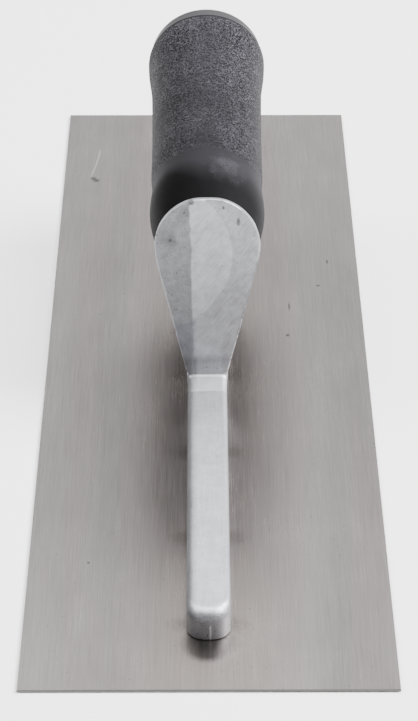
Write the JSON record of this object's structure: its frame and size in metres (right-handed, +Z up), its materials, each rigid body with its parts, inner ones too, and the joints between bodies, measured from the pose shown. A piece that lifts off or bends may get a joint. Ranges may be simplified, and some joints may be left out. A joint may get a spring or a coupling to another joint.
{
  "type": "rectangular finishing trowel",
  "caption": "Rectangular steel finishing trowel with a cast aluminium mounting and a soft black grip set over the middle of the blade.",
  "frame": {"origin": "centre of the blade's underside, which is the bottom of the object", "axes": "+Y runs along the blade from the toe to the heel, under the handle from its front to its rear end; +X runs across the blade; +Z points up from the blade to the handle"},
  "size_m": [0.1016, 0.3556, 0.08],
  "materials": {
    "blade_steel": "stainless sheet brushed along its length, with fine scratches from use",
    "cast_aluminium": "satin cast aluminium with hand-ground facets and small pits",
    "core_plastic": "hard moulded plastic, matt",
    "grip_rubber": "soft black rubber, fine pebbled grain with a smooth front collar",
    "cap_plastic": "smooth grey moulded plastic, satin",
    "bolt_steel": "zinc-plated steel",
    "rivet_steel": "steel, ground flush with the blade"
  },
  "bodies": {
    "root": {"blade": "blade_steel", "mounting": "cast_aluminium", "handle_core": "core_plastic", "grip_sleeve": "grip_rubber", "end_cap": "cap_plastic", "handle_bolt": "bolt_steel", "bolt_washer": "bolt_steel", "lock_washer": "bolt_steel", "rivet_1": "rivet_steel", "rivet_2": "rivet_steel", "rivet_3": "rivet_steel", "rivet_4": "rivet_steel", "rivet_5": "rivet_steel", "rivet_6": "rivet_steel", "rivet_7": "rivet_steel", "rivet_8": "rivet_steel"}
  },
  "joints": []
}
